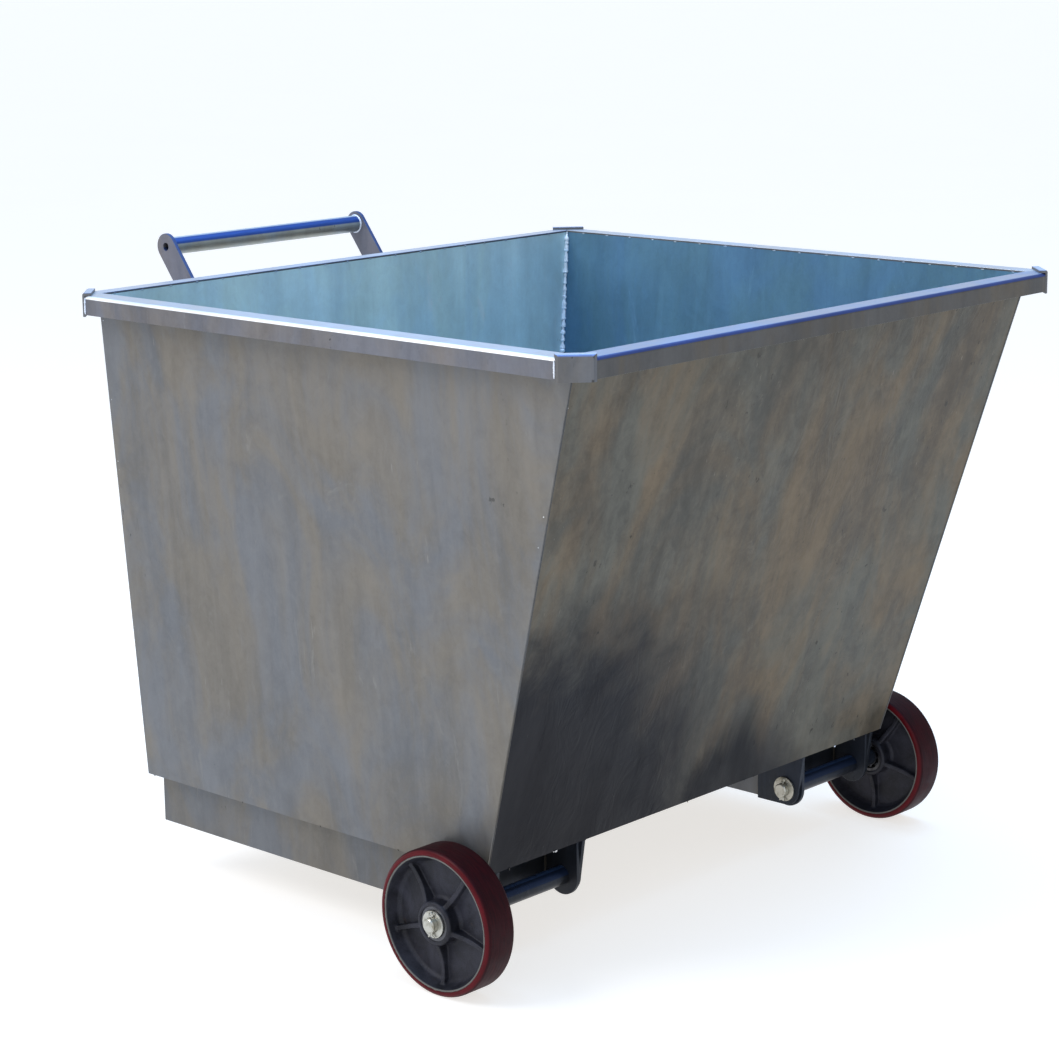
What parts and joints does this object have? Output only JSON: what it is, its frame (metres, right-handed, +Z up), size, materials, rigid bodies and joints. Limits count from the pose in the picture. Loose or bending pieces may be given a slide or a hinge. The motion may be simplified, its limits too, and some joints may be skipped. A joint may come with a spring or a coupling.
{
  "type": "tipping cart",
  "caption": "Hand-pushed tipping cart: tapered galvanised hopper with folded rim, fork channels, ribbed front wheels, rear swivel caster and push handle.",
  "frame": {"origin": "on the floor under the middle of the overall length and width, handle included", "axes": "+Z up; -Y is the front, the sloping panel that the load tips over; +Y is the rear, with the push handle; +X completes the right-handed frame and runs along the axles"},
  "size_m": [1.048, 1.147, 0.917],
  "materials": {
    "hopper_sheet": "hot-dip galvanised sheet, dull",
    "rim_sheet": "hot-dip galvanised, smooth",
    "frame_steel": "hot-dip galvanised, dull",
    "bright_zinc": "bright zinc plate",
    "wheel_iron": "cast, grey paint",
    "tyre_red": "polyurethane, satin",
    "bearing_steel": "ground",
    "caster_core": "moulded nylon",
    "caster_tyre_grey": "elastic rubber"
  },
  "bodies": {
    "cart": {"axle_ear_left_inner": "frame_steel", "axle_ear_left_outer": "frame_steel", "axle_ear_right_inner": "frame_steel", "axle_ear_right_outer": "frame_steel", "axle_gusset_left_inner": "frame_steel", "axle_gusset_left_outer": "frame_steel", "axle_gusset_right_inner": "frame_steel", "axle_gusset_right_outer": "frame_steel", "axle_left": "bright_zinc", "axle_right": "bright_zinc", "axle_spacer_tube_left": "frame_steel", "axle_spacer_tube_right": "frame_steel", "axle_washers": "bright_zinc", "bearing_inner_rings": "bearing_steel", "bearing_spacers": "bearing_steel", "caster_kingpin": "bright_zinc", "caster_kingpin_nut": "bright_zinc", "caster_nuts": "bright_zinc", "caster_pad": "frame_steel", "caster_studs": "bright_zinc", "caster_top_plate": "bright_zinc", "channel_web_left": "frame_steel", "channel_web_right": "frame_steel", "floor_panel": "hopper_sheet", "fork_channel_left": "frame_steel", "fork_channel_right": "frame_steel", "front_panel": "hopper_sheet", "handle_arm_left": "frame_steel", "handle_arm_right": "frame_steel", "handle_tube": "frame_steel", "hub_sleeve_left": "frame_steel", "hub_sleeve_right": "frame_steel", "rear_panel": "hopper_sheet", "rim_corner_front_left": "rim_sheet", "rim_corner_front_right": "rim_sheet", "rim_corner_rear_left": "rim_sheet", "rim_corner_rear_right": "rim_sheet", "rim_front": "rim_sheet", "rim_left": "rim_sheet", "rim_rear": "rim_sheet", "rim_right": "rim_sheet", "side_panel_left": "hopper_sheet", "side_panel_right": "hopper_sheet", "split_pins": "bright_zinc"},
    "wheel_left": {"wheel_casting_left": "wheel_iron", "wheel_tyre_left": "tyre_red", "bearing_outer_rings_left": "bearing_steel", "bearing_balls_left": "bearing_steel"},
    "wheel_right": {"wheel_casting_right": "wheel_iron", "wheel_tyre_right": "tyre_red", "bearing_outer_rings_right": "bearing_steel", "bearing_balls_right": "bearing_steel"},
    "caster_swivel_fork": {"caster_fork": "bright_zinc", "caster_race_balls": "bearing_steel", "caster_axle_bolt": "bright_zinc", "caster_axle_nut": "bright_zinc", "caster_axle_sleeve": "bright_zinc"},
    "caster_wheel": {"caster_wheel_core": "caster_core", "caster_tyre": "caster_tyre_grey"}
  },
  "joints": [
    {"name": "wheel_left_spin", "type": "hinge", "parent": "cart", "child": "wheel_left", "pos_m": [-0.481, -0.298, 0.1], "axis": [1, 0, 0], "continuous": true},
    {"name": "wheel_right_spin", "type": "hinge", "parent": "cart", "child": "wheel_right", "pos_m": [0.481, -0.298, 0.1], "axis": [1, 0, 0], "continuous": true},
    {"name": "caster_swivel", "type": "hinge", "parent": "cart", "child": "caster_swivel_fork", "pos_m": [0, 0.235, 0.14], "axis": [0, 0, 1], "continuous": true},
    {"name": "caster_wheel_spin", "type": "hinge", "parent": "caster_swivel_fork", "child": "caster_wheel", "pos_m": [0, 0.273, 0.0625], "axis": [1, 0, 0], "continuous": true}
  ]
}
